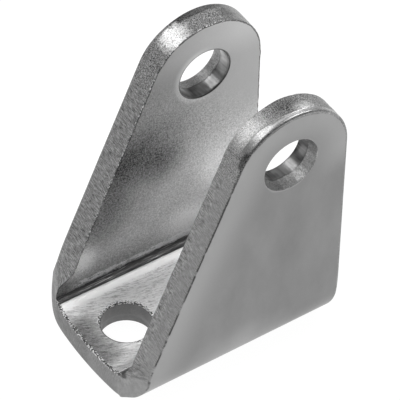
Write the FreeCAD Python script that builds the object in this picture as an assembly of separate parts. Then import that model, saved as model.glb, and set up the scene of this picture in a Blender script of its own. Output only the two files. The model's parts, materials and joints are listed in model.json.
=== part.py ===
# Clevis foot for the rear eye of a small round air cylinder.
# One blank of 3 mm zinc-plated steel sheet, punched and folded twice into a U.
# Two ears stand on a base. A pin through their bores carries the cylinder's eye, which swivels
# between them, and screws through the base hold the foot down.
# +X runs across the ears, +Y runs to the upright back edge, +Z runs up.
# The origin lies on the underside, midway between the two screw holes. Lengths are in millimetres.

import FreeCAD, Part
import math
import os

from FreeCAD import Vector

# The sheet and its folds
SHEET = 3.0
GAP = 12.4
FOLD_INNER_R = 0.7
FOLD_OUTER_R = 4.4

# The ears, seen from the side. The round top's centre lies a little behind and below the bore.
PIVOT_HEIGHT = 27.0
PIVOT_BACK = 5.9
EAR_R = 6.85
EAR_R_BACK = 0.15
EAR_R_DROP = 0.15

# The base, seen from above: a bowed front end whose corners fall back over the folds
BASE_FRONT = 12.35
FRONT_BOW = 0.35
CORNER_WIDTH = 3.4
CORNER_BACK = 1.5

# The shoulder at the foot of each slanted edge, where the fold swells forward.
# Its ledge is highest at the inner face, and tilts down until it runs out at the outer face.
SHOULDER_RISE = 0.5
FOOT_BEHIND_CORNER = 0.04
LEDGE_TILT_DEG = 17.0

# The bores, punched from the inner faces: a mouth that the punch drew in, a clean land,
# and a torn zone that opens towards the outer faces
PIN_D = 6.0
PIN_MOUTH_R = 0.2
PIN_TEAR = 0.2
SCREW_HOLE_D = 5.5
SCREW_MOUTH_R = 0.35
SCREW_TEAR = 0.15
SCREW_SPACING = 15.0
LAND_SHARE = 0.55

# The rounded rim that the same stroke leaves round the outer faces, where the blank was cut out
RIM_R = 0.4

# Room by which cutting shapes overshoot, and how near to the skin a point counts as on it
CLEAR = 1.0
ON_SKIN = 1e-3

HALF_GAP = GAP / 2
HALF_WIDTH = HALF_GAP + SHEET
ARC_Y = PIVOT_BACK + EAR_R_BACK
ARC_Z = PIVOT_HEIGHT - EAR_R_DROP
BACK = ARC_Y + EAR_R
TOP = ARC_Z + EAR_R
BLANK_FRONT = -BASE_FRONT - FRONT_BOW
SHOULDER_HEIGHT = FOLD_OUTER_R + SHOULDER_RISE


def bent(x, y, z, radius, side, start, end):
    """Arc in the plane y about x, z, from one angle to another, mirrored to the side asked for."""
    turn = [math.radians(start + (end - start) * share) for share in (0.0, 0.5, 1.0)]
    points = [Vector(side * (x + radius * math.cos(t)), y, z + radius * math.sin(t)) for t in turn]
    return Part.Arc(*points).toShape()


def drawn(edges, direction):
    """The solid that the closed outline of these edges sweeps along a direction."""
    return Part.Face(Part.Wire(Part.__sortEdges__(edges))).extrude(direction)


def channel():
    """The U section of two ears, two folds and a base, drawn out from front to back."""
    front, top = BLANK_FRONT - CLEAR, TOP + CLEAR
    edges = []
    for side in (-1, 1):
        outer, inner = side * HALF_WIDTH, side * HALF_GAP
        outer_x, inner_x = HALF_WIDTH - FOLD_OUTER_R, HALF_GAP - FOLD_INNER_R
        edges.append(bent(outer_x, front, FOLD_OUTER_R, FOLD_OUTER_R, side, -90, 0))
        edges.append(bent(inner_x, front, SHEET + FOLD_INNER_R, FOLD_INNER_R, side, -90, 0))
        for x, foot in ((outer, FOLD_OUTER_R), (inner, SHEET + FOLD_INNER_R)):
            edges.append(Part.makeLine(Vector(x, front, foot), Vector(x, front, top)))
        edges.append(Part.makeLine(Vector(inner, front, top), Vector(outer, front, top)))
    for half, z in ((HALF_WIDTH - FOLD_OUTER_R, 0), (HALF_GAP - FOLD_INNER_R, SHEET)):
        edges.append(Part.makeLine(Vector(-half, front, z), Vector(half, front, z)))
    return drawn(edges, Vector(0, BACK - BLANK_FRONT + 2 * CLEAR, 0))


def side_outline():
    """What is kept, seen from the side: round top, upright back, slanted front and shoulders.

    The slanted edge is the tangent from its foot, behind the ledge, to the round top."""
    back_to_foot = ARC_Y + BASE_FRONT - CORNER_BACK - FOOT_BEHIND_CORNER
    down_to_foot = ARC_Z - SHOULDER_HEIGHT
    reach = math.hypot(back_to_foot, down_to_foot)
    slant = math.atan2(back_to_foot, down_to_foot) - math.asin(EAR_R / reach)
    left = -HALF_WIDTH - CLEAR

    def on_arc(angle):
        return Vector(left, ARC_Y + EAR_R * math.cos(angle), ARC_Z + EAR_R * math.sin(angle))

    touch = on_arc(math.pi - slant)
    low = -CLEAR
    toe = Vector(left, touch.y - (touch.z - low) * math.tan(slant), low)
    heel, shoulder = Vector(left, BACK, low), Vector(left, BACK, ARC_Z)
    ears = drawn([
        Part.Arc(shoulder, on_arc((math.pi - slant) / 2), touch).toShape(),
        Part.makeLine(touch, toe),
        Part.makeLine(toe, heel),
        Part.makeLine(heel, shoulder),
    ], Vector(-2 * left, 0, 0))
    # Below the ledges nothing is slanted: a five-sided prism with a ridge over the middle.
    front = BLANK_FRONT - CLEAR
    tilt = math.tan(math.radians(LEDGE_TILT_DEG))
    ridge = SHOULDER_HEIGHT + HALF_GAP * tilt
    eaves = ridge + left * tilt
    outline = [Vector(left, front, low), Vector(left, front, eaves), Vector(0, front, ridge),
               Vector(-left, front, eaves), Vector(-left, front, low)]
    feet = drawn([Part.makeLine(a, b) for a, b in zip(outline, outline[1:] + outline[:1])],
                 Vector(0, -front, 0))
    return ears.fuse(feet)


def base_outline():
    """What is kept, seen from above: a bow across the front, and corners that fall back.

    The corner arc leaves the bow at the bow's own slope, and is CORNER_BACK behind at the side."""
    half, bow = HALF_WIDTH - CORNER_WIDTH, FRONT_BOW
    bow_r = (half * half + bow * bow) / (2 * bow)
    slope = math.asin(half / bow_r)
    at_side = 2 * math.atan2(CORNER_BACK, CORNER_WIDTH) - slope
    r = CORNER_WIDTH / (math.sin(at_side) - math.sin(slope))
    far = HALF_WIDTH + CLEAR
    last = math.asin(math.sin(slope) + (far - half) / r)
    back = BACK + CLEAR

    def on_corner(angle, side):
        x = half + r * (math.sin(angle) - math.sin(slope))
        return Vector(side * x, -BASE_FRONT + r * (math.cos(slope) - math.cos(angle)), -CLEAR)

    starts = {side: on_corner(slope, side) for side in (-1, 1)}
    ends = {side: on_corner(last, side) for side in (-1, 1)}
    edges = [Part.Arc(starts[-1], Vector(0, BLANK_FRONT, -CLEAR), starts[1]).toShape()]
    for side in (-1, 1):
        middle = on_corner((slope + last) / 2, side)
        edges.append(Part.Arc(starts[side], middle, ends[side]).toShape())
        edges.append(Part.makeLine(ends[side], Vector(side * far, back, -CLEAR)))
    edges.append(Part.makeLine(Vector(-far, back, -CLEAR), Vector(far, back, -CLEAR)))
    return drawn(edges, Vector(0, 0, TOP + 2 * CLEAR))


def back_cut():
    """The room behind the upright back edge of the whole blank."""
    width = 2 * (HALF_WIDTH + CLEAR)
    corner = Vector(-HALF_WIDTH - CLEAR, BACK, -CLEAR)
    return Part.makeBox(width, 2 * CLEAR, TOP + 2 * CLEAR, corner)


def punched_bore(radius, tear, mouth, outward):
    """A bore through one sheet: straight land from the inner face, then a cone to the outer face."""
    land = SHEET * LAND_SHARE
    straight = Part.makeCylinder(radius, land + CLEAR, mouth - outward * CLEAR, outward)
    cone = Part.makeCone(radius, radius + tear, SHEET - land, mouth + outward * land, outward)
    clear = Part.makeCylinder(radius + tear, CLEAR, mouth + outward * SHEET, outward)
    return straight.fuse([cone, clear])


def mouths(body, radius):
    """The circles of this radius where bores enter the inner faces."""
    circles = [e for e in body.Edges if isinstance(e.Curve, Part.Circle) and e.isClosed()]
    flush = [e for e in circles if abs(e.Curve.Radius - radius) < ON_SKIN]
    return [e for e in flush if abs(abs(e.Curve.Center.x) - HALF_GAP) < ON_SKIN
            or abs(e.Curve.Center.z - SHEET) < ON_SKIN]


def on_outer_skin(edge):
    """True for an edge that lies in the ears' outer faces, the outer folds or the underside."""
    first, last = edge.FirstParameter, edge.LastParameter
    for share in (0.0, 0.4, 1.0):
        point = edge.valueAt(first + (last - first) * share)
        across = abs(point.x) - (HALF_WIDTH - FOLD_OUTER_R)
        down = FOLD_OUTER_R - point.z
        reach = math.hypot(across, down) if across > 0 and down > 0 else max(across, down)
        if abs(reach - FOLD_OUTER_R) > ON_SKIN:
            return False
    return True


def outer_rims(body, at_front):
    """The edges round the outer skin: those of the bowed front end, or all the others."""
    rims = []
    for edge in body.Edges:
        box = edge.BoundBox
        is_front = box.YMax < -BASE_FRONT / 2
        # A line where a fold begins runs from front to back, low down.
        fold_line = box.YLength > BASE_FRONT and box.ZMax < ARC_Z / 2
        if on_outer_skin(edge) and is_front == at_front and not fold_line:
            rims.append(edge)
    return rims


def bracket():
    """The folded blank with its rounded rim and its bores."""
    body = channel().common(side_outline()).common(base_outline()).cut(back_cut())
    for at_front in (True, False):
        body = body.makeFillet(RIM_R, outer_rims(body, at_front))
    for side in (-1, 1):
        mouth = Vector(side * HALF_GAP, PIVOT_BACK, PIVOT_HEIGHT)
        body = body.cut(punched_bore(PIN_D / 2, PIN_TEAR, mouth, Vector(side, 0, 0)))
    for end in (-1, 1):
        mouth = Vector(0, end * SCREW_SPACING / 2, SHEET)
        body = body.cut(punched_bore(SCREW_HOLE_D / 2, SCREW_TEAR, mouth, Vector(0, 0, -1)))
    body = body.makeFillet(PIN_MOUTH_R, mouths(body, PIN_D / 2))
    return body.makeFillet(SCREW_MOUTH_R, mouths(body, SCREW_HOLE_D / 2))


os.makedirs("parts", exist_ok=True)
solid = bracket().Solids[0]
solid.exportStep("parts/clevis_bracket.step")
print("valid", solid.isValid(), "faces", len(solid.Faces), "volume", round(solid.Volume, 1))
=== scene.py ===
"""The looks of a cylinder swivel mount: one blank of thick zinc-plated steel sheet,
punched and folded twice into a U.

The blank is worked out in its developed plane, as it lay before folding: d is the distance
from the centre line along the skin, and y runs from the front to the back edge. A function
folds it up. Lengths are in millimetres until the mesh is written, in metres.
"""
import bmesh
import bpy
import json
import math
import numpy as np
from mathutils import Matrix, Vector


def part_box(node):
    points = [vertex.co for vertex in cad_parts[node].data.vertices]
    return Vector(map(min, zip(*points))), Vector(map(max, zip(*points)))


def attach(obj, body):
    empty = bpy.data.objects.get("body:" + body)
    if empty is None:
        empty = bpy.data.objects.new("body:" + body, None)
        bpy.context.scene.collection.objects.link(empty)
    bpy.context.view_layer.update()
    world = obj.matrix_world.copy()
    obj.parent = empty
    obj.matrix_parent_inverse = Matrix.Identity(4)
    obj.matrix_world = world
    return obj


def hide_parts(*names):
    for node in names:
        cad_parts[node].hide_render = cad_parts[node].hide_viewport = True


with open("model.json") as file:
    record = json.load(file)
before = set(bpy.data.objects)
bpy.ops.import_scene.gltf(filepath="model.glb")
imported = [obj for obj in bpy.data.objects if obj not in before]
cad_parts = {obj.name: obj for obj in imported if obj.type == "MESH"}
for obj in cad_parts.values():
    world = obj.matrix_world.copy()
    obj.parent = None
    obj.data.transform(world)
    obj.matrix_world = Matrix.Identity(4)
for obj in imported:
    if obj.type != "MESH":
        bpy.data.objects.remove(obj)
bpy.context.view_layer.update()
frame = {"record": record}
MM = 0.001

# Sizes that the frame gives
low, high = (np.array(corner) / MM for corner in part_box("clevis_bracket"))
mounts = {mount["name"]: mount for mount in frame["record"]["mounts"]}
PIVOT_Y, PIVOT_Z = (mounts["pivot_bore"]["pos_m"][i] / MM for i in (1, 2))
PIN_R = mounts["pivot_bore"]["dims"]["r_mm"]
SCREW_R = mounts["screw_holes"]["dims"]["hole_r_mm"]
SCREW_Y = mounts["screw_holes"]["dims"]["spacing_y_mm"] / 2
HALF_WIDTH, BACK, TOP = high
BLANK_FRONT = low[1]

# Sizes of the sheet that the frame doesn't name
SHEET = 3.0
FOLD_INNER_R, FOLD_OUTER_R = 0.7, 4.4
ARC_Y = PIVOT_Y + 0.15
EAR_R = BACK - ARC_Y
ARC_Z = TOP - EAR_R
SLANT = math.radians(23.2)
FRONT_BOW, BOW_HALF_WIDTH, CORNER_R = 0.35, 5.8, 6.4
BASE_FRONT = -BLANK_FRONT - FRONT_BOW
SEAM_Z = 6.4
PIN_MOUTH, SCREW_MOUTH = 0.2, 0.14
PIN_TEAR, SCREW_TEAR = 0.2, 0.15
TEAR_SHARE = 0.45
# How much further a torn hole opens right at the outer skin
FLARE = 0.06
# The rim that rolls over the outer faces: its depth, and its width on the straight and round edges
RIM_R, RIM_STRAIGHT, RIM_ROUND = 0.3, 0.15, 0.3
# How far the outer fold's back end draws in
FOLD_DRAWN_IN = 0.45
# How far the far ear's outer corner is softened: its depth, its height over the fold, its reach
SOFT_CORNER, SOFT_CORNER_UP, SOFT_CORNER_WIDTH = 0.17, 0.9, 1.8
# A small tooth that the shears left under the near front corner, and the hollow beside it: how
# far each stands out, where it lies along the outer skin, and its reach
TOOTH, HOLLOW = (0.18, 6.38, 0.3), (-0.13, 7.4, 0.75)
# The narrow ridge beside the fold runs slightly askew, from one distance in front to another behind
RIDGE, RIDGE_WIDTH, RIDGE_FRONT_X, RIDGE_BACK_X = 0.16, 0.42, 5.55, 5.37
RIDGE_FRONT_Y, RIDGE_RUN = -12.0, 16.0
# The base swells up gently towards the folds: how far, how far out, and over what width
DISH, DISH_X, DISH_WIDTH = 0.2, 6.2, 1.8

# Each skin of the sheet: where its flat base ends, its fold's radius, its height at the base
INNER = (HALF_WIDTH - SHEET - FOLD_INNER_R, FOLD_INNER_R, SHEET)
OUTER = (HALF_WIDTH - FOLD_OUTER_R, FOLD_OUTER_R, 0.0)


def value_noise(u, v, seed):
    """Smooth noise from -1 to 1: seeded values on a whole-number lattice, blended by 3f2 - 2f3."""
    table = np.random.default_rng(seed).uniform(-1, 1, (512, 512))
    iu, iv = np.floor(u).astype(int), np.floor(v).astype(int)
    fu, fv = u - iu, v - iv
    fu, fv = fu * fu * (3 - 2 * fu), fv * fv * (3 - 2 * fv)
    iu, iv = iu % 511, iv % 511
    near = table[iu, iv] * (1 - fu) + table[iu + 1, iv] * fu
    far = table[iu, iv + 1] * (1 - fu) + table[iu + 1, iv + 1] * fu
    return near * (1 - fv) + far * fv


def folded(d, y, skin):
    """A point of a skin after folding: flat base, then a quarter turn, then upright.

    The inner skin swells towards each fold by two bell curves, a wide one and a narrow ridge."""
    flat, radius, floor = skin
    away = np.abs(d)
    turn = np.clip((away - flat) / radius, 0, math.pi / 2)
    x = np.minimum(away, flat) + radius * np.sin(turn)
    z = floor + radius * (1 - np.cos(turn)) + np.maximum(away - flat - radius * math.pi / 2, 0)
    if skin is INNER:
        askew = np.clip((y - RIDGE_FRONT_Y) / RIDGE_RUN, 0, 1)
        ridge_x = RIDGE_FRONT_X + (RIDGE_BACK_X - RIDGE_FRONT_X) * askew
        swell = RIDGE * np.exp(-((x - ridge_x) / RIDGE_WIDTH) ** 2)
        swell = swell + DISH * np.exp(-((x - DISH_X) / DISH_WIDTH) ** 2)
        z = z + swell * np.cos(turn)
    return np.stack([np.sign(d) * x, y, z], -1)


def at_height(z, skin):
    """The developed distance of a height on the ear above the fold."""
    flat, radius, floor = skin
    return flat + radius * math.pi / 2 + z - floor - radius


def front_edge(x):
    """y of the bowed front at a distance x from the centre line, and of the corners beside it."""
    bow_r = (BOW_HALF_WIDTH ** 2 + FRONT_BOW ** 2) / (2 * FRONT_BOW)
    slope = BOW_HALF_WIDTH / bow_r
    bowed = -BASE_FRONT - FRONT_BOW + bow_r - np.sqrt(bow_r ** 2 - x ** 2)
    lean = np.clip(slope + (x - BOW_HALF_WIDTH) / CORNER_R, -0.99, 0.99)
    corner = -BASE_FRONT + CORNER_R * (math.sqrt(1 - slope ** 2) - np.sqrt(1 - lean ** 2))
    return np.where(x < BOW_HALF_WIDTH, bowed, corner)


def slanted_edge(z):
    """y of the slanted edge at a height: the tangent to the round top."""
    touch_y, touch_z = ARC_Y - EAR_R * math.cos(SLANT), ARC_Z + EAR_R * math.sin(SLANT)
    return touch_y - (touch_z - z) * math.tan(SLANT)


def resampled(points, count):
    """A polyline smoothed by a Catmull-Rom spline and divided evenly into count steps."""
    p = np.array(points)
    p = np.vstack([2 * p[0] - p[1], p, 2 * p[-1] - p[-2]])
    t = np.linspace(0, 1, 12, endpoint=False)[:, None]
    a, b, c, d = p[:-3], p[1:-2], p[2:-1], p[3:]
    parts = [0.5 * (2 * q[1] + (q[2] - q[0]) * t + (2 * q[0] - 5 * q[1] + 4 * q[2] - q[3]) * t ** 2
                    + (3 * q[1] - q[0] - 3 * q[2] + q[3]) * t ** 3) for q in zip(a, b, c, d)]
    line = np.vstack(parts + [p[-2:-1]])
    length = np.append(0, np.cumsum(np.linalg.norm(np.diff(line, axis=0), axis=1)))
    even = np.linspace(0, length[-1], count + 1)
    return np.stack([np.interp(even, length, line[:, i]) for i in (0, 1)], -1)


def drawn_in(d, skin):
    """How far the back edge lies in: a bell curve about the middle of the outer fold."""
    flat, radius = skin[:2]
    if skin is INNER:
        return 0 * d
    return FOLD_DRAWN_IN * np.exp(-((d - flat - radius * math.pi / 4) / radius / 0.7) ** 2)


# How many steps each stretch of the outline has
N_BASE, N_TURN, N_SHOULDER, N_SLANT, N_ARC, N_UPRIGHT, N_ROW = 20, 28, 14, 110, 76, 90, 70

# The shoulders, as y and z on the inner skin, from the fold up to the slanted edge. The far
# one swelled into a high lobe when the fold was pressed, the near one is a low step.
SHOULDERS = {
    -1: [(-12.26, 4.2), (-12.14, 4.85), (-11.93, 5.22), (-11.55, 5.5), (-11.1, 5.68), (-10.66, 5.98)],
    1: [(-12.28, 3.78), (-12.15, 3.92), (-11.6, 3.98), (-11.2, 4.04), (-11.02, 4.26), (-10.74, 4.95)],
}

# On the outer skin both run the same way: the distance past the fold, and y
OUTER_SHOULDER = [(0.6, -10.67), (1.3, -10.43)]


def half_outline(side, skin):
    """The sharp outline of one half of a skin in the developed plane, from front to back."""
    flat, radius = skin[:2]
    base = np.linspace(0, flat, N_BASE + 1)
    turn = flat + radius * np.linspace(0, math.pi / 2, N_TURN + 1)
    x_turn = folded(turn, 0 * turn, skin)[:, 0]
    seam = at_height(SEAM_Z, skin)
    path = [(turn[-1], front_edge(x_turn[-1]))]
    if skin is INNER:
        path += [(at_height(z, skin), y) for y, z in SHOULDERS[side]]
    else:
        path += [(turn[-1] + past, y) for past, y in OUTER_SHOULDER]
    path.append((seam, slanted_edge(SEAM_Z)))
    shoulder = resampled(path, N_SHOULDER)
    touch_z = ARC_Z + EAR_R * math.sin(SLANT)
    z_slant = np.linspace(SEAM_Z, touch_z, N_SLANT + 1)
    angle = np.linspace(math.pi - SLANT, 0, N_ARC + 1)
    z_up = np.linspace(ARC_Z, SEAM_Z, N_UPRIGHT + 1)
    back_d = np.append(np.linspace(seam, turn[-1], N_SHOULDER + 1), turn[::-1][1:])
    back_y = BACK - drawn_in(back_d, skin)
    pieces = [
        np.stack([base, front_edge(base)], -1),
        np.stack([turn, front_edge(x_turn)], -1)[1:],
        shoulder[1:],
        np.stack([at_height(z_slant, skin), slanted_edge(z_slant)], -1)[1:],
        np.stack([at_height(ARC_Z + EAR_R * np.sin(angle), skin), ARC_Y + EAR_R * np.cos(angle)], -1)[1:],
        np.stack([at_height(z_up, skin), BACK - drawn_in(at_height(z_up, skin), skin)], -1)[1:],
        np.stack([back_d, back_y], -1)[1:],
        np.stack([base[::-1], BACK - drawn_in(base[::-1], skin)], -1)[1:],
    ]
    outline = np.vstack(pieces)
    if skin is OUTER and side < 0:
        front = slice(0, N_BASE + N_TURN + N_SHOULDER + N_SLANT)
        away = (outline[front, 0] - turn[-1] - SOFT_CORNER_UP) / SOFT_CORNER_WIDTH
        outline[front, 1] += SOFT_CORNER * np.exp(-away ** 2)
    if skin is OUTER and side > 0:
        front = slice(0, N_BASE + N_TURN)
        for out, place, reach in (TOOTH, HOLLOW):
            outline[front, 1] -= out * np.exp(-((outline[front, 0] - place) / reach) ** 2)
    return outline


# Where the stretches meet, counted along half an outline
AT_TURN = N_BASE
AT_SEAM = AT_TURN + N_TURN + N_SHOULDER
AT_UPRIGHT = AT_SEAM + N_SLANT + N_ARC
AT_BACK_SEAM = AT_UPRIGHT + N_UPRIGHT
AT_BACK_TURN = AT_BACK_SEAM + N_SHOULDER + N_TURN
AT_END = AT_BACK_TURN + N_BASE


def whole_outline(skin):
    """The closed outline of a skin: the near half, then the far half mirrored and walked back."""
    near, far = half_outline(1, skin), half_outline(-1, skin)
    return np.vstack([near, (far * [-1, 1])[::-1][1:-1]])


def inset(loop, depth):
    """A closed outline moved inwards, square to its own direction, by a depth at each point."""
    ahead, behind = np.roll(loop, -1, 0), np.roll(loop, 1, 0)
    along = ahead - behind
    along /= np.linalg.norm(along, axis=1)[:, None]
    inward = np.stack([-along[:, 1], along[:, 0]], -1)
    return loop + inward * np.reshape(depth, (-1, 1))


def side_points(loop, side):
    """One half of a closed outline, from the front centre to the back centre."""
    if side > 0:
        return loop[:AT_END + 1]
    return np.vstack([loop[:1], loop[:AT_END - 1:-1]])


def run_length(loop):
    """The distance walked along a closed outline, at each of its points."""
    step = np.linalg.norm(np.roll(loop, -1, 0) - loop, axis=1)
    return np.append(0, np.cumsum(step)[:-1])


class Sheet:
    """Collects grids of points with their quads, and four values at each point."""

    def __init__(self):
        self.points, self.faces, self.zones = [], [], []
        self.values = {name: [] for name in ("along", "across", "edge", "hole")}
        self.count = 0

    def grid(self, points, zone, closed=False, **values):
        """Adds a grid of rows by columns; closed joins the last column to the first."""
        rows, columns = points.shape[:2]
        index = np.arange(rows * columns).reshape(rows, columns) + self.count
        if closed:
            index = np.hstack([index, index[:, :1]])
        quads = np.stack([index[:-1, :-1], index[:-1, 1:], index[1:, 1:], index[1:, :-1]], -1)
        self.points.append(points.reshape(-1, 3))
        self.faces.append(quads.reshape(-1, 4))
        self.zones.append(np.full(len(self.faces[-1]), zone))
        for name, held in self.values.items():
            held.append(np.broadcast_to(values.get(name, 0.0), (rows, columns)).ravel())
        self.count += rows * columns

    def mesh(self, name):
        """Welds points that share a place and writes one closed mesh, in metres."""
        points = np.vstack(self.points)
        faces, zones = np.vstack(self.faces), np.concatenate(self.zones)
        rounded = np.round(points, 5)
        first, merged = np.unique(rounded, axis=0, return_index=True, return_inverse=True)[1:]
        merged = merged.ravel()
        mesh = bpy.data.meshes.new(name)
        corners = [list(dict.fromkeys(face)) for face in merged[faces].tolist()]
        mesh.from_pydata(points[first] * MM, [], corners)
        mesh.polygons.foreach_set("material_index", zones.astype(np.int32))
        for label, values in self.values.items():
            layer = mesh.attributes.new(label, "FLOAT", "POINT")
            welded = np.zeros(len(first), np.float32)
            welded[merged] = np.concatenate(values)
            layer.data.foreach_set("value", welded)
        return mesh


INNER_SKIN, OUTER_SKIN, CUT_EDGE, BORE_WALL = range(4)
# Shares of the way from a hole to the outline, close together at both ends
SPREAD = np.array([0, 0.015, 0.05, 0.12, 0.22, 0.36, 0.52, 0.68, 0.82, 0.92, 0.97, 0.99, 1.0])


def strip(front, back):
    """Rows from a front line to a back line; the front's crowding evens out within 3 mm."""
    share = np.linspace(0, 1, N_ROW + 1)
    share = np.sort(np.append(share[2:-2], [0, 0.002, 0.008, 0.02, 0.98, 0.992, 0.998, 1]))[:, None]
    y = front[:, 1] + (back[:, 1] - front[:, 1]) * share
    ease = np.clip((y - y[:1]) / 3.0, 0, 1)
    d = front[:, 0] + (back[:, 0] - front[:, 0]) * ease
    return np.stack([d, y], -1)


def around(loop, centre, radius):
    """Rings from a hole out to a closed outline: each point goes straight out from the centre."""
    out = loop - centre
    reach = np.linalg.norm(out, axis=1, keepdims=True)
    rim = centre + out / reach * radius
    return rim + (loop - rim) * SPREAD[:, None, None]


def to_outline(points, loop):
    """The shortest distance from each point of a grid to a closed outline's straight steps."""
    start, step = loop, np.roll(loop, -1, 0) - loop
    flat = points.reshape(-1, 1, 2) - start
    share = np.clip((flat * step).sum(-1) / (step * step).sum(-1), 0, 1)
    gap = flat - step * share[..., None]
    return np.sqrt((gap * gap).sum(-1).min(1)).reshape(points.shape[:2])


def skins(sheet, skin, loop, zone, bore_r, screw_r):
    """Covers one skin of the sheet with grids. Gives back the rims of its holes."""
    rims = {}
    flat_lines = {}
    for side in (1, -1):
        edge = side_points(loop, side)
        front = edge[AT_TURN:AT_SEAM + 1]
        back = edge[AT_BACK_SEAM:AT_BACK_TURN + 1][::-1]
        rows = strip(front * [side, 1], back * [side, 1]) * [side, 1]
        sheet.grid(folded(rows[..., 0], rows[..., 1], skin), zone, edge=to_outline(rows, loop), hole=9.0)
        flat_lines[side] = rows[:, 0]
        seam = rows[:, -1]
        ring = np.vstack([seam, edge[AT_SEAM:AT_BACK_SEAM + 1][::-1][1:-1]])
        centre = np.array([side * at_height(PIVOT_Z, skin), PIVOT_Y])
        rings = around(ring, centre, bore_r)
        points = folded(rings[..., 0], rings[..., 1], skin)
        hole = np.linalg.norm(rings - centre, axis=-1) - bore_r
        sheet.grid(points, zone, closed=True, edge=to_outline(rings, loop), hole=hole)
        rims[side] = points[0]
    middle = len(flat_lines[1]) // 2
    across = np.linspace(0, 1, 2 * N_BASE + 1)[:, None]
    line = flat_lines[-1][middle] * (1 - across) + flat_lines[1][middle] * across
    near, far = side_points(loop, 1), side_points(loop, -1)
    for end in (-1, 1):
        if end < 0:
            edge = np.vstack([far[AT_TURN:0:-1], near[:AT_TURN + 1]])
            left, right = flat_lines[-1][:middle + 1], flat_lines[1][:middle + 1]
        else:
            edge = np.vstack([far[AT_BACK_TURN:-1], near[:AT_BACK_TURN - 1:-1]])
            left, right = flat_lines[-1][middle:][::-1], flat_lines[1][middle:][::-1]
        ring = np.vstack([edge[:-1], right[:-1], line[::-1][:-1], left[::-1][:-1]])
        centre = np.array([0.0, end * SCREW_Y])
        rings = around(ring, centre, screw_r)
        points = folded(rings[..., 0], rings[..., 1], skin)
        hole = np.linalg.norm(rings - centre, axis=-1) - screw_r
        sheet.grid(points, zone, closed=True, edge=to_outline(rings, loop), hole=hole)
        rims["front" if end < 0 else "back"] = points[0]
    return rims


def cut_relief(along, across, seed, tear):
    """How far a sheared wall stands out: a rough torn zone, a smoother land with fine strokes."""
    border = tear + 0.25 * value_noise(along / 1.7, along * 0, seed)
    torn = np.clip((border - across) / 0.25, 0, 1)
    rough = value_noise(along / 0.42, across / 0.5, seed + 1)
    rough = rough + 0.7 * value_noise(along / 0.2, across / 0.22, seed + 2)
    strokes = value_noise(along / 0.3, across / 2.5 + along * 0.15, seed + 3)
    return torn * (0.028 * rough - 0.03) + (1 - torn) * 0.01 * strokes


# Shares of the sheet's thickness at which a sheared wall has points, from the inner skin
THROUGH = np.linspace(0.035, 1 - RIM_R / SHEET, 16)
ROLL = np.linspace(0, 1, 7)[1:]


def outline_wall(sheet, loops):
    """The sheared wall round the blank: burr, torn zone, land, and the rim that rolls over."""
    burr_in, sharp_in, sharp_out, rolled_out = loops
    inner = folded(sharp_in[:, 0], sharp_in[:, 1], INNER)
    outer = folded(sharp_out[:, 0], sharp_out[:, 1], OUTER)
    start = folded(burr_in[:, 0], burr_in[:, 1], INNER)
    end = folded(rolled_out[:, 0], rolled_out[:, 1], OUTER)
    along = run_length(sharp_in)
    share = THROUGH[:, None]
    relief = cut_relief(along + 0 * share, SHEET * share, 11, TEAR_SHARE * SHEET)
    fade = np.clip((1 - share) * SHEET / RIM_R - 0.9, 0, 1) * np.clip(share / 0.06, 0, 1)
    out_dir = sharp_out - rolled_out
    out_dir /= np.linalg.norm(out_dir, axis=1)[:, None] + 1e-9
    probe = 0.01
    moved = sharp_out + out_dir * probe
    outward = folded(moved[:, 0], moved[:, 1], OUTER) - outer
    outward /= np.linalg.norm(outward, axis=1)[:, None]
    wall = inner + (outer - inner) * share[..., None] + outward * (relief * fade)[..., None]
    corner_start = wall[-1]
    t = ROLL[:, None, None]
    roll = corner_start * (1 - t) ** 2 + 2 * outer * t * (1 - t) + end * t ** 2
    points = np.concatenate([start[None], wall, roll])
    across = np.concatenate([[0], THROUGH * SHEET, (1 - RIM_R / SHEET + RIM_R / SHEET * ROLL) * SHEET])
    sheet.grid(points, CUT_EDGE, closed=True, along=along, across=across[:, None])


def hole_wall(sheet, torn_rim, drawn_rim, centre, axis, radius, tear, mouth, seed):
    """The wall of a punched hole: torn cone from the outer skin, round land, mouth at the inner one."""
    torn_way, drawn_way = torn_rim - centre, drawn_rim - centre
    torn_way = torn_way - np.outer(torn_way @ axis, axis)
    drawn_way = drawn_way - np.outer(drawn_way @ axis, axis)
    share = np.concatenate([[0.03], np.linspace(0.08, 1 - mouth / SHEET, 16)])[:, None, None]
    direction = torn_way * (1 - share) + drawn_way * share
    direction /= np.linalg.norm(direction, axis=-1, keepdims=True)
    side_way = np.cross(axis, direction[0, 0])
    angle = np.arctan2(direction @ side_way, direction @ direction[0, 0])
    across = share[..., 0] * SHEET
    relief = cut_relief(angle * radius, across, seed, TEAR_SHARE * SHEET)
    cone = tear * np.clip(1 - across / (TEAR_SHARE * SHEET), 0, 1)
    wall_r = (radius + cone - relief)[..., None]
    level = (torn_rim[0] @ axis) * (1 - share) + (drawn_rim[0] @ axis) * share
    base = centre - axis * (centre @ axis)
    wall = base + axis * level + direction * wall_r
    corner = base + axis * (drawn_rim[0] @ axis) + direction[-1] * radius
    t = ROLL[:, None, None]
    roll = wall[-1] * (1 - t) ** 2 + 2 * corner * t * (1 - t) + drawn_rim * t ** 2
    points = np.concatenate([torn_rim[None], wall, roll])
    across = np.concatenate([[0], across[:, 0], SHEET - mouth + mouth * ROLL])
    angle = np.vstack([angle[:1], angle, np.repeat(angle[-1:], len(ROLL), 0)])
    sheet.grid(points, BORE_WALL, closed=True, along=angle * radius, across=across[:, None])


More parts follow.
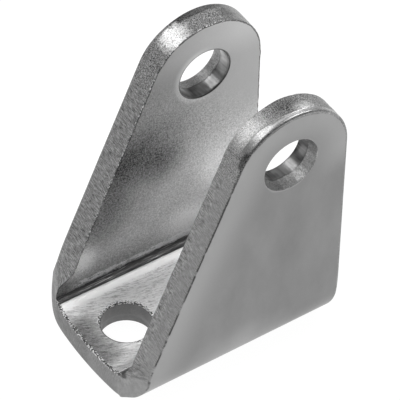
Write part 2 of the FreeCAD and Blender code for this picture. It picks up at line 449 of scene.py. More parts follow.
def folded_sheet():
    """The whole bracket as one closed mesh."""
    sheet = Sheet()
    sharp_in, sharp_out = whole_outline(INNER), whole_outline(OUTER)
    along = run_length(sharp_in)
    burr = 0.07 + 0.035 * value_noise(along / 0.5, 0 * along, 5)
    burr = burr + 0.02 * value_noise(along / 0.9, 0 * along, 6)
    round_part = np.clip((sharp_out[:, 1] - 0.4) / 2.5, 0, 1)
    rim = RIM_STRAIGHT + (RIM_ROUND - RIM_STRAIGHT) * round_part
    rim = rim * (1.05 + 0.12 * value_noise(along / 3.0, 0 * along, 7))
    burr_in, rolled_out = inset(sharp_in, burr), inset(sharp_out, rim)
    inner_rims = skins(sheet, INNER, burr_in, INNER_SKIN, PIN_R + PIN_MOUTH, SCREW_R + SCREW_MOUTH)
    outer_rims = skins(sheet, OUTER, rolled_out, OUTER_SKIN,
                       PIN_R + PIN_TEAR + FLARE, SCREW_R + SCREW_TEAR + FLARE)
    outline_wall(sheet, (burr_in, sharp_in, sharp_out, rolled_out))
    for side in (1, -1):
        centre, axis = np.array([0, PIVOT_Y, PIVOT_Z]), np.array([side, 0.0, 0.0])
        hole_wall(sheet, outer_rims[side], inner_rims[side], centre, axis, PIN_R, PIN_TEAR,
                  PIN_MOUTH, 31 + side)
    for end, y in (("front", -SCREW_Y), ("back", SCREW_Y)):
        centre, axis = np.array([0, y, 0.0]), np.array([0.0, 0.0, -1.0])
        hole_wall(sheet, outer_rims[end], inner_rims[end], centre, axis, SCREW_R, SCREW_TEAR, SCREW_MOUTH,
                  51 + int(y > 0))
    return sheet.mesh("folded_sheet")


def closed_and_smooth(mesh):
    """Turns all faces outwards, and keeps creases over 40 degrees sharp."""
    work = bmesh.new()
    work.from_mesh(mesh)
    bmesh.ops.recalc_face_normals(work, faces=work.faces)
    work.to_mesh(mesh)
    work.free()
    mesh.shade_smooth()
    mesh.set_sharp_from_angle(angle=math.radians(40))


mesh = folded_sheet()
closed_and_smooth(mesh)
bracket = bpy.data.objects.new("folded_sheet", mesh)
bpy.context.scene.collection.objects.link(bracket)
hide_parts("clevis_bracket")
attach(bracket, "root")


# Materials. Places in them are Object coordinates, in millimetres.

def node(tree, kind, settings=(), **inputs):
    """A node of a kind, its settings made and its inputs set to values or joined to sockets."""
    made = tree.nodes.new(kind)
    for name, value in dict(settings).items():
        setattr(made, name, value)
    for name, value in inputs.items():
        socket = made.inputs[int(name[1:]) if name[1:].isdigit() else name.replace("_", " ")]
        if isinstance(value, bpy.types.NodeSocket):
            tree.links.new(value, socket)
        else:
            socket.default_value = value
    return made


def calc(tree, operation, a, b=0.0, clamp=False):
    """The result of one sum on two values."""
    made = node(tree, "ShaderNodeMath", {"operation": operation, "use_clamp": clamp}, _0=a, _1=b)
    return made.outputs[0]


def ease(tree, value, start, end):
    """0 before start, 1 after end, and a smooth rise between them."""
    made = node(tree, "ShaderNodeMapRange", {"interpolation_type": "SMOOTHSTEP"},
                _0=value, _1=start, _2=end)
    return made.outputs[0]


def blend(tree, share, a, b):
    """a where share is 0, b where it is 1."""
    made = node(tree, "ShaderNodeMix", {"data_type": "FLOAT"}, _0=share, _2=a, _3=b)
    return made.outputs[0]


def noise(tree, place, scale, detail=2.0, rough=0.5):
    """Cloudy noise from 0 to 1, with so many clouds to a millimetre."""
    made = node(tree, "ShaderNodeTexNoise", {}, Vector=place, Scale=scale, Detail=detail, Roughness=rough)
    return made.outputs[0]


def stretched(tree, place, lengths, turn=(0.0, 0.0, 0.0)):
    """A place counted in cells with these lengths in millimetres, along axes that are turned."""
    made = node(tree, "ShaderNodeMapping", {"vector_type": "TEXTURE"},
                Vector=place, Rotation=turn, Scale=lengths)
    return made.outputs[0]


def times(tree, a, b):
    """The product of two values."""
    return calc(tree, "MULTIPLY", a, b)


def plus(tree, *values):
    """The sum of some values."""
    total = values[0]
    for value in values[1:]:
        total = calc(tree, "ADD", total, value)
    return total


def centred(tree, value, reach):
    """A value from 0 to 1 turned into one from -reach to reach."""
    return times(tree, calc(tree, "SUBTRACT", value, 0.5), 2 * reach)


def between(tree, value, start, end, soft):
    """1 where a value lies between start and end, with soft borders."""
    rise = ease(tree, value, start - soft, start + soft)
    return times(tree, rise, ease(tree, value, end + soft, end - soft))


def new_group(name, inputs, outputs):
    """An empty node group with named sockets: its tree, its inputs' node and its outputs' node."""
    tree = bpy.data.node_groups.new(name, "ShaderNodeTree")
    kinds = {"float": "NodeSocketFloat", "vector": "NodeSocketVector"}
    for label, kind, value in inputs:
        socket = tree.interface.new_socket(label, in_out="INPUT", socket_type=kinds[kind])
        socket.default_value = value
    for label in outputs:
        tree.interface.new_socket(label, in_out="OUTPUT", socket_type="NodeSocketFloat")
    return tree, tree.nodes.new("NodeGroupInput").outputs, tree.nodes.new("NodeGroupOutput").inputs


def crystal_grain():
    """Fine matt grain of the zinc: a height, and specks where single grains flash or fall dark."""
    tree, given, out = new_group(
        "crystal_grain", [("Place", "vector", (0, 0, 0)), ("Per mm", "float", 7.0)], ["Height", "Speck"])
    coarse = noise(tree, given["Place"], given["Per mm"], 2.0, 0.7)
    fine = noise(tree, given["Place"], times(tree, given["Per mm"], 2.3), 1.0)
    height = plus(tree, coarse, times(tree, fine, 0.5))
    tree.links.new(height, out["Height"])
    speck = calc(tree, "SUBTRACT", ease(tree, height, 0.7, 1.0), ease(tree, height, 0.75, 0.45))
    tree.links.new(speck, out["Speck"])
    return tree


def soft_clouds():
    """Slow changes of tone over the plating, about -1 to 1."""
    tree, given, out = new_group(
        "soft_clouds", [("Place", "vector", (0, 0, 0)), ("Per mm", "float", 0.15)], ["Tone"])
    slow = noise(tree, given["Place"], given["Per mm"], 3.0, 0.55)
    tree.links.new(centred(tree, slow, 2.0), out["Tone"])
    return tree


def ragged_line():
    """A thin line along an edge, torn by noise: 1 on the line, 0 away from it."""
    tree, given, out = new_group("ragged_line", [("Place", "vector", (0, 0, 0)), ("Distance", "float", 0.0),
                                                 ("Width", "float", 0.1), ("Gaps", "float", 0.3)], ["Line"])
    torn = noise(tree, given["Place"], 4.0, 3.0, 0.7)
    reach = times(tree, given["Width"], times(tree, torn, 2.0))
    near = calc(tree, "SUBTRACT", 1.0, ease(tree, calc(tree, "DIVIDE", given["Distance"], reach), 0.6, 1.2))
    held = ease(tree, noise(tree, given["Place"], 1.1, 2.0), plus(tree, given["Gaps"], -0.05),
                plus(tree, given["Gaps"], 0.1))
    tree.links.new(times(tree, near, held), out["Line"])
    return tree


def shear_strokes():
    """Strokes that the punch drew through the thickness: short hairs that lean along the edge."""
    tree, given, out = new_group(
        "shear_strokes", [("Along", "float", 0.0), ("Across", "float", 0.0), ("Slope", "float", 0.3),
                          ("Per mm", "float", 6.0)], ["Height"])
    drift = plus(tree, given["Along"], times(tree, given["Across"], given["Slope"]))
    place = node(tree, "ShaderNodeCombineXYZ", {}, _0=drift, _1=times(tree, given["Across"], 0.17))
    tree.links.new(noise(tree, place.outputs[0], given["Per mm"], 1.0, 0.5), out["Height"])
    return tree


def spot():
    """A soft round spot with a torn border: 1 inside, 0 outside."""
    tree, given, out = new_group("spot", [("Place", "vector", (0, 0, 0)), ("Centre", "vector", (0, 0, 0)),
                                          ("Reach", "float", 1.0), ("Torn", "float", 0.5)], ["Mask"])
    away = node(tree, "ShaderNodeVectorMath", {"operation": "DISTANCE"},
                _0=given["Place"], _1=given["Centre"]).outputs["Value"]
    torn = plus(tree, noise(tree, given["Place"], 2.2, 3.0, 0.7), -0.5)
    share = plus(tree, calc(tree, "DIVIDE", away, given["Reach"]), times(tree, torn, given["Torn"]))
    tree.links.new(ease(tree, share, 1.15, 0.6), out["Mask"])
    return tree


MADE = (crystal_grain(), soft_clouds(), ragged_line(), shear_strokes(), spot())
GROUPS = {group.name: group for group in MADE}


def use(tree, group, **inputs):
    """One of the groups placed in a material, with its values."""
    return node(tree, "ShaderNodeGroup", {"node_tree": GROUPS[group]}, **inputs)


def soft_spot(tree, finish, centre, reach):
    """1 at a centre and 0 at its reaches along the three axes, in millimetres: a smooth fall."""
    away = node(tree, "ShaderNodeVectorMath", {"operation": "SUBTRACT"}, _0=finish.place, _1=centre)
    share = node(tree, "ShaderNodeVectorMath", {"operation": "DIVIDE"}, _0=away.outputs[0], _1=reach)
    length = node(tree, "ShaderNodeVectorMath", {"operation": "LENGTH"}, _0=share.outputs[0])
    return ease(tree, length.outputs["Value"], 1.0, 0.0)


class Finish:
    """A zinc-plated steel material under way: its tree, the place on the piece and its edge values."""

    def __init__(self, name):
        self.material = bpy.data.materials.new(name)
        self.material.use_nodes = True
        self.tree = self.material.node_tree
        self.tree.nodes.clear()
        out = self.tree.nodes.new("ShaderNodeOutputMaterial")
        self.shader = self.tree.nodes.new("ShaderNodeBsdfPrincipled")
        self.shader.inputs["Metallic"].default_value = 1.0
        self.tree.links.new(self.shader.outputs[0], out.inputs[0])
        where = node(self.tree, "ShaderNodeTexCoord").outputs["Object"]
        scaled = node(self.tree, "ShaderNodeVectorMath", {"operation": "SCALE"}, _0=where, Scale=1 / MM)
        self.place = scaled.outputs[0]
        self.x, self.y, self.z = node(self.tree, "ShaderNodeSeparateXYZ", {}, _0=self.place).outputs

    def value(self, name):
        """One of the values that the mesh holds at each point."""
        return node(self.tree, "ShaderNodeAttribute", {"attribute_name": name}).outputs["Fac"]

    def finish(self, shade, roughness, height, depth):
        """Joins a grey shade, a roughness and a height in millimetres to the shader."""
        tree = self.tree
        grey = node(tree, "ShaderNodeCombineColor", {}, _0=shade, _1=shade, _2=shade)
        tree.links.new(grey.outputs[0], self.shader.inputs["Base Color"])
        tree.links.new(roughness, self.shader.inputs["Roughness"])
        bump = node(tree, "ShaderNodeBump", {}, Strength=1.0, Distance=depth * MM, Height=height)
        tree.links.new(bump.outputs[0], self.shader.inputs["Normal"])
        return self.material


def inner_skin():
    """Inside of the U: satin plating painted bright for its brighter reflections, brushed on the base,
    painted shade in the pressed fold.
    """
    f = Finish("inner_skin")
    t = f.tree
    lumps, speck = use(t, "crystal_grain", Place=f.place, Per_mm=5.2).outputs
    clouds = use(t, "soft_clouds", Place=f.place, Per_mm=0.22).outputs[0]
    edge, hole = f.value("edge"), f.value("hole")
    on_ear = ease(t, f.z, 3.5, 4.0)
    smooth = ease(t, plus(t, f.z, times(t, f.y, 0.7)), 23.5, 31.0)
    # The ear's tone is painted light and shade: darker higher up and lighter at the top, painted shade
    # along the slanted edge, painted reflections bright low down towards the back
    level = plus(t, 0.66, times(t, ease(t, f.z, 14.0, 21.0), -0.2),
                 times(t, ease(t, f.z, 27.0, 31.5), 0.14))
    painted_shade = ease(t, plus(t, edge, times(t, clouds, 0.4)), 8.5, 1.0)
    painted_shade = times(t, times(t, painted_shade, between(t, f.z, 9.0, 21.5, 3.5)), ease(t, f.y, 6.5, 2.5))
    # Painted shade in the middle (dim); painted reflections low towards the back (bright, low) and at the
    # front foot (toe); lighter round the hole (halo)
    dim = soft_spot(t, f, (-6.2, 1.2, 16.6), (9.0, 4.2, 4.2))
    bright = soft_spot(t, f, (-6.2, 7.0, 12.3), (9.0, 3.4, 4.5))
    low = soft_spot(t, f, (-6.2, 4.2, 6.4), (9.0, 5.0, 3.6))
    toe = soft_spot(t, f, (-6.2, -8.9, 7.4), (9.0, 2.6, 3.2))
    halo = times(t, ease(t, hole, 0.8, 0.1), ease(t, f.y, 7.5, 4.0))
    level = plus(t, level, times(t, painted_shade, -0.41), times(t, dim, -0.3), times(t, bright, 0.18),
                 times(t, low, 0.36), times(t, toe, 0.5), times(t, halo, 0.2))
    # Painted shade darkens the ear towards its foot, in the front half
    foot = times(t, ease(t, f.z, 8.5, 4.2), ease(t, f.y, 3.0, -3.0))
    level = times(t, level, plus(t, 1.0, times(t, foot, -0.3)))
    ear = plus(t, level, times(t, clouds, 0.02), times(t, speck, blend(t, smooth, 0.24, 0.02)))
    # Over the fold lies a torn ridge of smeared zinc, which runs slightly askew
    askew = calc(t, "DIVIDE", plus(t, f.y, -RIDGE_FRONT_Y), RIDGE_RUN, clamp=True)
    top = plus(t, 3.87, times(t, askew, 0.03))
    torn = noise(t, stretched(t, f.place, (0.4, 0.9, 0.4)), 1.0, 3.0, 0.75)
    over = plus(t, calc(t, "SUBTRACT", f.z, top), centred(t, torn, 0.35))
    smear = times(t, between(t, over, 0.2, 0.8, 0.14), ease(t, f.y, -11.0, -9.0))
    broken = noise(t, stretched(t, f.place, (0.5, 1.2, 0.3)), 1.0, 3.0, 0.7)
    smear = times(t, smear, ease(t, broken, 0.4, 0.62))
    ear = plus(t, ear, times(t, smear, plus(t, 0.72, times(t, speck, 0.4))))
    # The base is brushed along shallow arcs, with a painted highlight at the fold and a painted dark
    # reflection at the front, where the brushing shows less
    bent = node(t, "ShaderNodeVectorMath", {"operation": "ADD"}, _0=f.place,
                _1=node(t, "ShaderNodeCombineXYZ", {}, _0=times(t, times(t, f.y, f.y), 0.018)).outputs[0])
    fine = noise(t, stretched(t, bent.outputs[0], (0.1, 0.9, 0.3), (0, 0, -0.1)), 1.0, 2.0, 0.6)
    coarse = noise(t, stretched(t, bent.outputs[0], (0.35, 2.4, 0.6), (0, 0, 0.0)), 1.0, 2.0, 0.6)
    brushed = plus(t, times(t, fine, 0.65), times(t, coarse, 0.35))
    # front: where the base's front is painted dark as a painted dark reflection
    front = times(t, ease(t, plus(t, edge, times(t, clouds, 0.25)), 4.2, 0.7), ease(t, f.y, -7.5, -9.5))
    front = times(t, front, times(t, ease(t, f.x, -4.6, -2.0), ease(t, f.x, 5.2, 2.8)))
    scratched = noise(t, stretched(t, bent.outputs[0], (0.1, 0.8, 0.3), (0, 0, -0.1)), 1.0, 1.0)
    scratch = times(t, ease(t, scratched, 0.62, 0.7), soft_spot(t, f, (-3.9, -4.5, 3.0), (1.0, 4.0, 2.0)))
    painted_highlight_at_fold = ease(t, plus(t, f.x, centred(t, brushed, 1.2)), -4.6, -5.2)
    contrast = blend(t, front, plus(t, 1.3, times(t, painted_highlight_at_fold, -0.8)), 0.5)
    base = plus(t, blend(t, front, plus(t, 0.91, times(t, painted_highlight_at_fold, 0.5)), 0.27),
                times(t, centred(t, brushed, 1.0), contrast), times(t, speck, blend(t, front, 0.14, 0.1)),
                times(t, scratch, -0.5))
    shade = blend(t, on_ear, base, ear)
    # The fold's crease is painted dark as painted shade, broken by lighter streaks
    streak = noise(t, stretched(t, f.place, (0.12, 2.4, 0.12)), 1.0, 2.0, 0.6)
    ridge_x = plus(t, RIDGE_FRONT_X, times(t, askew, RIDGE_BACK_X - RIDGE_FRONT_X))
    past_ridge = calc(t, "SUBTRACT", calc(t, "ABSOLUTE", f.x), ridge_x)
    painted_fold_shade = times(t, ease(t, past_ridge, 0.0, 0.12), ease(t, over, 0.06, -0.06))
    shade = blend(t, times(t, painted_fold_shade, ease(t, streak, 0.9, 0.52)), shade, 0.15)
    corner = use(t, "spot", Place=f.place, Centre=(-6.2, -12.0, 4.5), Reach=1.7, Torn=0.9).outputs[0]
    shade = blend(t, times(t, corner, 0.5), shade, plus(t, 0.15, times(t, speck, 0.12)))
    # Round the outline a broken dark line and bright burrs, and burrs on one side of the screw hole
    gaps = blend(t, ease(t, f.z, 19.0, 25.0), 0.44, 0.25)
    edge_dark = use(t, "ragged_line", Place=f.place, Distance=edge, Width=0.12, Gaps=gaps).outputs[0]
    shade = blend(t, times(t, edge_dark, 0.8), shade, 0.05)
    low_down = ease(t, f.z, 3.7, 3.4)
    at_edge = times(t, ease(t, edge, 0.34, 0.14), low_down)
    burrs = noise(t, f.place, 6.0, 1.0)
    shade = blend(t, times(t, at_edge, ease(t, burrs, 0.5, 0.44)), shade, 0.08)
    shade = blend(t, times(t, at_edge, ease(t, burrs, 0.53, 0.6)), shade, 1.0)
    one_side = times(t, low_down, ease(t, plus(t, f.y, times(t, f.x, -0.5)), -10.5, -8.5))
    at_hole = times(t, ease(t, hole, 0.26, 0.1), one_side)
    shade = blend(t, times(t, at_hole, ease(t, burrs, 0.48, 0.41)), shade, 0.08)
    shade = blend(t, times(t, at_hole, ease(t, burrs, 0.49, 0.55)), shade, 1.0)
    rough = plus(t, 0.38, times(t, lumps, 0.1))
    height = plus(t, times(t, lumps, blend(t, smooth, 0.8, 0.1)),
                  times(t, calc(t, "SUBTRACT", 1.0, on_ear), brushed))
    return f.finish(shade, rough, height, 0.035)


def outer_skin():
    """Outside of the U: smooth, even plating with soft clouds, painted darker than the inside as painted
    shade and lighter at the edges and low down as painted reflection, and a dark torn line at the rim, a
    painted dark reflection.
    """
    f = Finish("outer_skin")
    t = f.tree
    lumps, speck = use(t, "crystal_grain", Place=f.place, Per_mm=4.0).outputs
    clouds = use(t, "soft_clouds", Place=stretched(t, f.place, (1.0, 0.8, 1.6)), Per_mm=0.2).outputs[0]
    edge = f.value("edge")
    # Painted reflection: lighter towards the edges, less so on the right, and low down; the low base tone
    # is painted shade for dimmer reflections
    border = ease(t, plus(t, edge, times(t, clouds, 1.2)), 5.0, 0.3)
    right = times(t, ease(t, f.y, 6.5, 10.0), ease(t, f.z, 27.0, 22.0))
    border = times(t, border, plus(t, 1.0, times(t, right, -0.95)))
    low = soft_spot(t, f, (9.2, 0.0, 3.6), (9.0, 9.0, 3.4))
    shade = plus(t, 0.247, times(t, border, 0.1), times(t, clouds, 0.032), times(t, low, 0.08),
                 times(t, speck, 0.006))
    # A broken dark line along the rim: a painted dark reflection of the rolled edge
    edge_dark = use(t, "ragged_line", Place=f.place, Distance=edge, Width=0.08, Gaps=0.4).outputs[0]
    shade = blend(t, times(t, times(t, edge_dark, ease(t, f.y, 11.0, 8.5)), 0.6), shade, 0.06)
    rough = plus(t, 0.3, times(t, lumps, 0.06))
    return f.finish(shade, rough, lumps, 0.004)


def cut_edge():
    """The sheared wall: torn, speckled metal with short strokes that lean over the thickness."""
    f = Finish("cut_edge")
    t = f.tree
    along, across = f.value("along"), f.value("across")
    lumps, speck = use(t, "crystal_grain", Place=f.place, Per_mm=8.5).outputs
    strokes = use(t, "shear_strokes", Along=along, Across=across, Slope=0.12, Per_mm=8.5).outputs[0]
    hairs = use(t, "shear_strokes", Along=along, Across=across, Slope=0.3, Per_mm=5.0).outputs[0]
    clouds = use(t, "soft_clouds", Place=f.place, Per_mm=0.6).outputs[0]
    on_arc = ease(t, f.z, 26.0, 29.0)
    on_front = ease(t, f.z, 4.6, 3.6)
    near = ease(t, f.x, 0.0, 1.0)
    # The land that the punch polished: on the near ear it narrows towards the back, on the far
    # one it starts past the highlight and spreads over the whole edge at the back
    past = plus(t, across, times(t, clouds, 0.1))
    narrows = plus(t, 1.85, times(t, ease(t, f.y, 1.0, 7.0), 0.45))
    near_land = ease(t, calc(t, "SUBTRACT", past, narrows), -0.1, 0.1)
    near_land = times(t, near_land, ease(t, plus(t, f.z, times(t, clouds, 0.3)), 30.2, 30.9))
    far_land = calc(t, "MAXIMUM", times(t, ease(t, past, 2.1, 2.3), ease(t, f.y, 2.6, 4.0)),
                    ease(t, plus(t, f.y, clouds), 8.0, 10.0))
    land = times(t, on_arc, blend(t, near, far_land, near_land))
    # Painted dark reflections on the tops of both arcs
    painted_dark_top = calc(t, "MAXIMUM", soft_spot(t, f, (7.3, 6.2, 33.6), (2.4, 2.6, 2.4)),
                    soft_spot(t, f, (-8.9, 5.6, 33.6), (1.1, 3.0, 1.6)))
    dark_rim = use(t, "spot", Place=stretched(t, f.place, (0.5, 1.0, 1.0)), Centre=(17.9, 0.0, 30.5),
                   Reach=1.25, Torn=1.3).outputs[0]
    corner = times(t, near, times(t, on_front, ease(t, f.x, 5.0, 6.5)))
    level = plus(t, blend(t, near, 0.26, 0.3), times(t, on_front, -0.06), times(t, corner, 0.07),
                 times(t, painted_dark_top, -0.16), times(t, on_arc, -0.025),
                 times(t, between(t, f.z, 4.5, 8.0, 1.0), 0.04))
    # On the near ear the strokes are plain beside the inner face and fade towards the outer one
    outwards = ease(t, plus(t, across, times(t, clouds, 0.5)), 0.6, 1.8)
    plain = blend(t, near, 1.0, blend(t, outwards, 1.1, 0.55))
    plain = times(t, plain, times(t, blend(t, on_front, 1.0, 0.35), blend(t, on_arc, 1.0, 0.35)))
    drawn = times(t, plus(t, centred(t, strokes, 0.36), centred(t, hairs, 0.12)), plain)
    torn = plus(t, level, times(t, clouds, 0.012), drawn,
                times(t, speck, blend(t, on_arc, times(t, plain, 0.13), blend(t, near, 0.38, 0.3))))
    # Painted highlights on the near arc: a wide speckled bloom, and a glint further back
    painted_bloom_highlight = soft_spot(t, f, (7.2, 1.9, 32.3), (2.6, 3.0, 2.8))
    glint = soft_spot(t, f, (8.4, 8.0, 33.4), (1.5, 2.2, 1.6))
    torn = plus(t, torn, times(t, painted_bloom_highlight, 0.52), times(t, glint, 0.4))
    torn = plus(t, torn, times(t, painted_bloom_highlight, times(t, speck, 0.3)))
    far_shade = blend(t, ease(t, f.y, 4.0, 7.0), 0.09, 0.24)
    near_shade = blend(t, ease(t, f.y, 3.5, 6.5), 0.36, 0.4)
    shade = blend(t, land, torn, plus(t, blend(t, near, far_shade, near_shade), times(t, speck, 0.24)))
    # A painted highlight line along the near arc's rim
    gleam = between(t, plus(t, across, times(t, clouds, 0.05)), 2.38, 2.6, 0.07)
    gleam = times(t, times(t, times(t, near, on_arc), gleam), between(t, f.y, 3.6, 8.6, 1.0))
    shade = blend(t, times(t, gleam, 0.6), shade, 0.95)
    # The far arc's smoother patch carries a painted highlight, speckled by the grain
    flash = use(t, "spot", Place=f.place, Centre=(-7.5, 2.8, 32.9), Reach=1.9, Torn=1.0).outputs[0]
    flash = times(t, times(t, flash, ease(t, lumps, 0.55, 0.8)), ease(t, across, 2.75, 2.35))
    shade = blend(t, times(t, flash, 0.9), shade, 0.85)
    shade = blend(t, times(t, dark_rim, 0.85), shade, plus(t, 0.06, times(t, speck, 0.1)))
    # A broken dark line where the rim rolls over: a painted dark reflection on the rolled edge, with bright
    # flecks on the round tops
    rim_place = calc(t, "SUBTRACT", SHEET, across)
    rim_width = times(t, blend(t, on_arc, 0.16, 0.24), ease(t, f.y, 12.6, 11.5))
    rim_gaps = blend(t, ease(t, f.z, 14.0, 24.0), 0.42, 0.3)
    rim_dark = use(t, "ragged_line", Place=f.place, Distance=rim_place, Width=rim_width,
                   Gaps=rim_gaps).outputs[0]
    foot = calc(t, "MAXIMUM", ease(t, f.z, 1.0, 5.5), times(t, ease(t, f.x, 6.5, 5.0), 0.5))
    fades = times(t, blend(t, ease(t, f.y, 2.0, 6.0), 0.85, 0.5), times(t, ease(t, f.y, 12.4, 11.0), foot))
    flecks = times(t, on_arc, ease(t, lumps, 0.6, 0.95))
    shade = blend(t, times(t, rim_dark, fades), shade, plus(t, 0.035, times(t, flecks, 0.25)))
    # The far ear's inner edge is torn too: a broken dark line with bright burrs
    inner_rim = times(t, calc(t, "SUBTRACT", 1.0, near), ease(t, f.z, 7.0, 12.0))
    rim_gap = use(t, "ragged_line", Place=f.place, Distance=across, Width=0.12, Gaps=0.4).outputs[0]
    shade = blend(t, times(t, times(t, inner_rim, rim_gap), 0.75), shade, 0.05)
    # The front's upper edge is torn into bright and dark specks
    lip = times(t, ease(t, across, 0.3, 0.1), ease(t, f.z, 3.7, 3.4))
    burrs = noise(t, f.place, 6.0, 1.0)
    shade = blend(t, times(t, lip, ease(t, burrs, 0.5, 0.44)), shade, 0.1)
    shade = blend(t, times(t, lip, ease(t, burrs, 0.53, 0.6)), shade, 0.9)
    ragged = times(t, inner_rim, ease(t, across, 0.24, 0.1))
    shade = blend(t, times(t, ragged, ease(t, burrs, 0.58, 0.64)), shade, 0.8)
    # A dark crack where the near shoulder leaves the fold
    crack = use(t, "spot", Place=stretched(t, f.place, (1.0, 1.0, 0.6)), Centre=(6.1, -12.1, 6.1),
                Reach=0.8, Torn=0.5).outputs[0]
    shade = blend(t, times(t, crack, 0.8), shade, 0.04)
    rough = blend(t, calc(t, "MAXIMUM", land, flash), plus(t, 0.4, times(t, strokes, 0.12)), 0.35)
    height = plus(t, times(t, lumps, blend(t, on_front, 1.0, 0.5)), times(t, strokes, plain))
    height = times(t, height, blend(t, calc(t, "MAXIMUM", land, times(t, flash, 0.3)), 1.0, 0.2))
    return f.finish(shade, rough, height, 0.05)


def bore_wall():
    """Walls of the punched holes: torn and matt outside, a smooth land inside, painted shade in the base.
    """
    f = Finish("bore_wall")
    t = f.tree
    along, across = f.value("along"), f.value("across")
    lumps, speck = use(t, "crystal_grain", Place=f.place, Per_mm=6.0).outputs
    strokes = use(t, "shear_strokes", Along=along, Across=across, Slope=0.1, Per_mm=3.0).outputs[0]
    border = plus(t, across, centred(t, noise(t, f.place, 0.9), 0.3))
    smooth = ease(t, border, 1.3, 1.42)
    seam = between(t, border, 1.3, 1.42, 0.07)
    patch = ease(t, noise(t, stretched(t, f.place, (1.8, 1.8, 1.8)), 1.0, 1.0), 0.4, 0.6)
    near = ease(t, f.x, 0.0, 1.0)
    torn_shade = plus(t, blend(t, near, 0.27, 0.46), times(t, speck, blend(t, near, 0.15, 0.24)),
                      times(t, patch, 0.08))
    # Painted reflection lightens the land high up in the pin bores
    upper = ease(t, f.z, 26.0, 27.8)
    land_shade = plus(t, blend(t, near, 0.14, 0.09), times(t, patch, 0.15), centred(t, strokes, 0.12),
                      times(t, upper, blend(t, near, 0.45, 0.25)))
    shade = blend(t, smooth, torn_shade, land_shade)
    shade = blend(t, times(t, seam, blend(t, upper, 0.5, 0.1)), shade, 0.05)
    mouth = times(t, calc(t, "SUBTRACT", 1.0, near), ease(t, across, 2.84, 2.94))
    shade = blend(t, times(t, mouth, 0.75), shade, 0.05)
    # The screw holes in the base are painted dark as painted shade
    in_base = ease(t, f.z, 4.0, 3.4)
    painted_shade = plus(t, 0.15, times(t, speck, 0.02), times(t, patch, 0.03))
    shade = blend(t, in_base, shade, painted_shade)
    # Burrs at the mouth of the screw hole, on the side away from the front
    lip = times(t, times(t, in_base, ease(t, across, 2.78, 2.9)),
                ease(t, plus(t, f.y, times(t, f.x, -0.5)), -10.5, -8.5))
    burrs = noise(t, f.place, 6.0, 1.0)
    shade = blend(t, times(t, lip, ease(t, burrs, 0.48, 0.41)), shade, 0.06)
    shade = blend(t, times(t, lip, ease(t, burrs, 0.5, 0.56)), shade, 0.9)
    matt = calc(t, "SUBTRACT", 1.0, smooth)
    rough = blend(t, calc(t, "MAXIMUM", matt, in_base), 0.38, 0.5)
    height = times(t, plus(t, times(t, matt, lumps), times(t, strokes, 0.3)), blend(t, in_base, 1.0, 0.3))
    return f.finish(shade, rough, height, 0.03)


for made in (inner_skin(), outer_skin(), cut_edge(), bore_wall()):
    mesh.materials.append(made)


# The camera, at the photograph's viewing angle
AIM = (-1.673, 2.564, 14.238)
CAMERA_AZIMUTH, CAMERA_ELEVATION, CAMERA_ROLL = 54.77, 46.47, 1.69
CAMERA_DISTANCE, LENS = 428.9, 373.81


def toward(azimuth, elevation):
    """The unit vector to a place at an azimuth, from the front round to the right, and an elevation."""
    a, e = math.radians(azimuth), math.radians(elevation)
    return Vector((math.sin(a) * math.cos(e), -math.cos(a) * math.cos(e), math.sin(e)))


def add_camera():
    """A long lens that looks at AIM, turned about its own axis by the photograph's roll."""
    camera = bpy.data.objects.new("camera", bpy.data.cameras.new("camera"))
    camera.data.lens = LENS
    camera.data.sensor_width = 36.0
    camera.data.sensor_fit = "HORIZONTAL"
    camera.data.clip_start, camera.data.clip_end = 0.01, 10.0
    back = toward(CAMERA_AZIMUTH, CAMERA_ELEVATION)
    right = Vector((math.cos(math.radians(CAMERA_AZIMUTH)), math.sin(math.radians(CAMERA_AZIMUTH)), 0))
    up = back.cross(right)
    turn = math.radians(CAMERA_ROLL)
    x = right * math.cos(turn) + up * math.sin(turn)
    y = up * math.cos(turn) - right * math.sin(turn)
    place = (Vector(AIM) + back * CAMERA_DISTANCE) * MM
    camera.matrix_world = Matrix((x, y, back)).transposed().to_4x4()
    camera.location = place
    bpy.context.scene.collection.objects.link(camera)
    bpy.context.scene.camera = camera


def add_lamp(name, azimuth, elevation, distance, size, radiance):
    """A soft lamp of a width and a height, in millimetres, that faces the part's middle.

    Its power is pi times its area times its radiance."""
    lamp = bpy.data.lights.new(name, "AREA")
    lamp.shape = "RECTANGLE"
    lamp.size, lamp.size_y = size[0] * MM, size[1] * MM
    lamp.energy = math.pi * lamp.size * lamp.size_y * radiance
    holder = bpy.data.objects.new(name, lamp)
    way = toward(azimuth, elevation)
    holder.location = (Vector((0, 0, 15)) + way * distance) * MM
    holder.rotation_euler = way.to_track_quat("Z", "Y").to_euler()
    bpy.context.scene.collection.objects.link(holder)


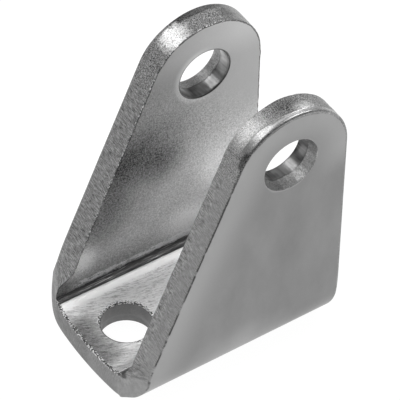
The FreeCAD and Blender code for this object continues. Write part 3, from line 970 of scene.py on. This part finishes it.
def add_floor():
    """A pale floor that shows white to the eye and in reflections, and keeps a soft shadow."""
    half = 0.6
    plane = bpy.data.meshes.new("floor")
    corners = [(-half, -half, 0), (half, -half, 0), (half, half, 0), (-half, half, 0)]
    plane.from_pydata(corners, [], [(0, 1, 2, 3)])
    floor = bpy.data.objects.new("floor", plane)
    bpy.context.scene.collection.objects.link(floor)
    material = bpy.data.materials.new("pale_floor")
    material.use_nodes = True
    tree = material.node_tree
    tree.nodes.clear()
    out = node(tree, "ShaderNodeOutputMaterial")
    cloth = node(tree, "ShaderNodeBsdfDiffuse", {}, Color=(0.85, 0.85, 0.85, 1))
    glow = node(tree, "ShaderNodeEmission", {}, Strength=1.08)
    path = node(tree, "ShaderNodeLightPath").outputs
    seen = calc(tree, "MAXIMUM", path["Is Camera Ray"], path["Is Glossy Ray"])
    seen = calc(tree, "MAXIMUM", seen, path["Is Transmission Ray"])
    mix = node(tree, "ShaderNodeMixShader", {}, _0=times(tree, seen, 0.9), _1=cloth.outputs[0],
               _2=glow.outputs[0])
    tree.links.new(mix.outputs[0], out.inputs[0])
    plane.materials.append(material)


def light_world():
    """The room: white to the eye; to metal, a white floor line, dim walls and a pale ceiling."""
    world = bpy.data.worlds.new("studio")
    bpy.context.scene.world = world
    world.use_nodes = True
    tree = world.node_tree
    tree.nodes.clear()
    out = tree.nodes.new("ShaderNodeOutputWorld")
    path = tree.nodes.new("ShaderNodeLightPath")
    way = node(tree, "ShaderNodeTexCoord")
    height = node(tree, "ShaderNodeSeparateXYZ", {}, _0=way.outputs["Generated"]).outputs[2]
    room = node(tree, "ShaderNodeValToRGB", {}, _0=height)
    stops = room.color_ramp.elements
    stops[0].position, stops[1].position = 0.0, 0.06
    for element, grey in zip(stops, (1.0, 0.3)):
        element.color = (grey, grey, grey, 1)
    for place, grey in ((0.35, 0.25), (0.6, 0.3), (0.8, 0.36), (1.0, 0.5)):
        stops.new(place).color = (grey, grey, grey, 1)
    reflected = node(tree, "ShaderNodeBackground", {}, Color=room.outputs[0])
    seen = node(tree, "ShaderNodeBackground", {}, Color=(1, 1, 1, 1))
    soft = node(tree, "ShaderNodeBackground", {}, Color=(0.5, 0.5, 0.5, 1))
    direct = calc(tree, "MAXIMUM", path.outputs["Is Camera Ray"], path.outputs["Is Transmission Ray"])
    lit = node(tree, "ShaderNodeMixShader", {}, _0=path.outputs["Is Glossy Ray"], _1=soft.outputs[0],
               _2=reflected.outputs[0])
    shown = node(tree, "ShaderNodeMixShader", {}, _0=direct, _1=lit.outputs[0], _2=seen.outputs[0])
    tree.links.new(shown.outputs[0], out.inputs[0])


add_camera()
add_lamp("front_left", -54, 49, 400, (160, 160), 4.5)
add_lamp("back_strip", 191, 56, 400, (150, 300), 4.5)
add_floor()
light_world()
bpy.context.scene.view_settings.view_transform = "Standard"
